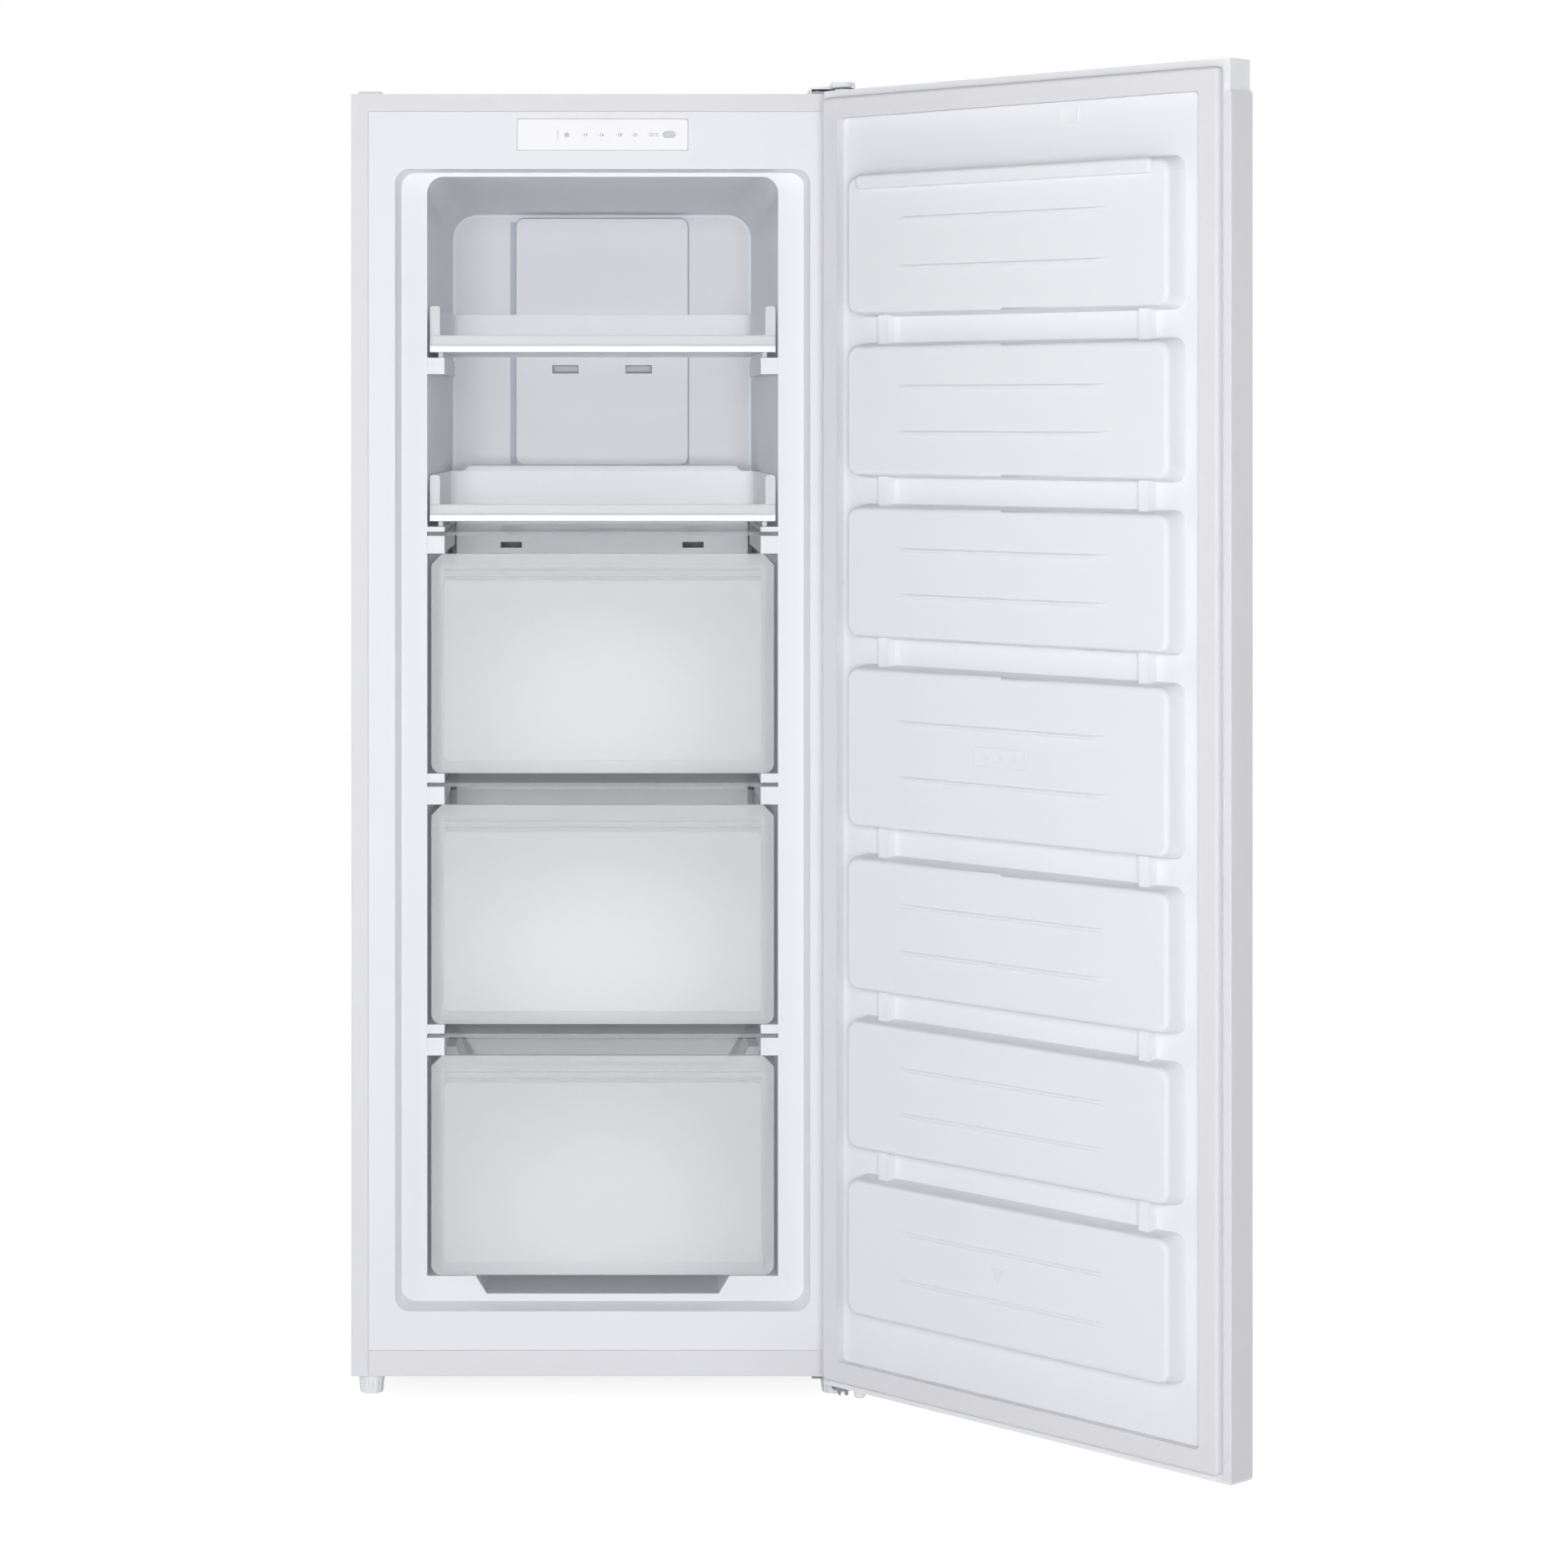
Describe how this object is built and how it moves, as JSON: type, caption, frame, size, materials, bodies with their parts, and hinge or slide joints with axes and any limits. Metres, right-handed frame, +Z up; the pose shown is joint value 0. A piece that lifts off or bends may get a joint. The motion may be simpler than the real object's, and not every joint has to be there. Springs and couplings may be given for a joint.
{
  "type": "upright freezer",
  "caption": "Upright freezer with its door standing open on the right, clear drawers, pull-out trays and a padded door lining.",
  "frame": {"origin": "centre of the front left foot's sole, on the floor", "axes": "+X to the right along the cabinet's front, +Y from the front to the back, +Z up"},
  "size_m": [0.9165, 0.9401, 1.433],
  "materials": {
    "painted_white": "smooth satin white enamel",
    "liner_white": "thermoformed white polystyrene, soft gloss",
    "white_plastic": "moulded white plastic",
    "opal_plastic": "cloudy white see-through plastic",
    "clear_plastic": "clear moulded polystyrene",
    "seal_white": "soft white extruded vinyl",
    "zinc_steel": "zinc plated sheet",
    "black_enamel": "black enamel",
    "aluminium": "bare aluminium",
    "copper": "bare copper tube",
    "black_rubber": "black rubber",
    "grey_plastic": "moulded grey plastic",
    "foam": "rigid insulating foam",
    "board_green": "coated circuit board"
  },
  "bodies": {
    "cabinet": {"cabinet_shell": "painted_white", "inner_liner": "liner_white", "insulation": "foam", "bottom_front_trim": "painted_white", "back_panel": "painted_white", "base_plate": "zinc_steel", "foot_nuts": "zinc_steel", "rear_feet": "grey_plastic", "hinge_hole_cover": "white_plastic", "control_panel": "white_plastic", "control_board": "board_green", "duct_cover": "white_plastic", "evaporator_cover": "white_plastic", "evaporator": "aluminium", "defrost_heater": "zinc_steel", "fan_motor": "grey_plastic", "machine_panel": "zinc_steel", "compressor_tray": "zinc_steel", "compressor_mounts": "black_rubber", "compressor": "black_enamel", "refrigerant_pipe": "copper", "evaporation_pan": "grey_plastic", "drain_tube": "grey_plastic", "condenser_coil": "copper", "upper_hinge": "zinc_steel", "lower_hinge": "zinc_steel", "upper_hinge_cover": "white_plastic", "hinge_screws": "zinc_steel", "shelf_1": "clear_plastic", "shelf_2": "clear_plastic", "shelf_3": "clear_plastic"},
    "door": {"door_skin": "painted_white", "door_top_cap": "white_plastic", "door_bottom_cap": "white_plastic", "door_liner": "liner_white", "door_foam": "foam", "door_gasket": "seal_white", "magnet_clip": "white_plastic", "upper_bush": "white_plastic", "lower_bush": "white_plastic", "door_stop": "white_plastic", "door_screws": "zinc_steel"},
    "upper_tray": {"tray_1": "opal_plastic"},
    "lower_tray": {"tray_2": "opal_plastic"},
    "upper_drawer": {"drawer_tub_1": "clear_plastic", "drawer_front_1": "opal_plastic"},
    "middle_drawer": {"drawer_tub_2": "clear_plastic", "drawer_front_2": "opal_plastic"},
    "lower_drawer": {"drawer_tub_3": "clear_plastic", "drawer_front_3": "opal_plastic"},
    "fan": {"fan_rotor": "grey_plastic"},
    "button": {"control_button": "white_plastic"},
    "left_foot": {"front_foot_left": "white_plastic"},
    "right_foot": {"front_foot_right": "white_plastic"}
  },
  "joints": [
    {"name": "door_hinge", "type": "hinge", "parent": "cabinet", "child": "door", "pos_m": [0.5148, -0.05165, 0.0215], "axis": [0, 0, 1], "range_deg": [-133.3, 1.7]},
    {"name": "upper_tray_slide", "type": "slide", "parent": "cabinet", "child": "upper_tray", "axis": [0, -1, 0], "range_m": [0, 0.26]},
    {"name": "lower_tray_slide", "type": "slide", "parent": "cabinet", "child": "lower_tray", "axis": [0, -1, 0], "range_m": [0, 0.22]},
    {"name": "upper_drawer_slide", "type": "slide", "parent": "cabinet", "child": "upper_drawer", "axis": [0, -1, 0], "range_m": [0, 0.24]},
    {"name": "middle_drawer_slide", "type": "slide", "parent": "cabinet", "child": "middle_drawer", "axis": [0, -1, 0], "range_m": [0, 0.24]},
    {"name": "lower_drawer_slide", "type": "slide", "parent": "cabinet", "child": "lower_drawer", "axis": [0, -1, 0], "range_m": [0, 0.15]},
    {"name": "fan_spin", "type": "hinge", "parent": "cabinet", "child": "fan", "pos_m": [0.2536, 0.362, 0.94636], "axis": [0, 1, 0], "continuous": true},
    {"name": "button_press", "type": "slide", "parent": "cabinet", "child": "button", "axis": [0, 1, 0], "range_m": [0, 0.0008], "stiffness_N_per_m": 400},
    {"name": "left_foot_turn", "type": "hinge", "parent": "cabinet", "child": "left_foot", "pos_m": [0, 0, 0], "axis": [0, 0, 1], "continuous": true},
    {"name": "right_foot_turn", "type": "hinge", "parent": "cabinet", "child": "right_foot", "pos_m": [0.5072, 0, 0], "axis": [0, 0, 1], "continuous": true}
  ]
}
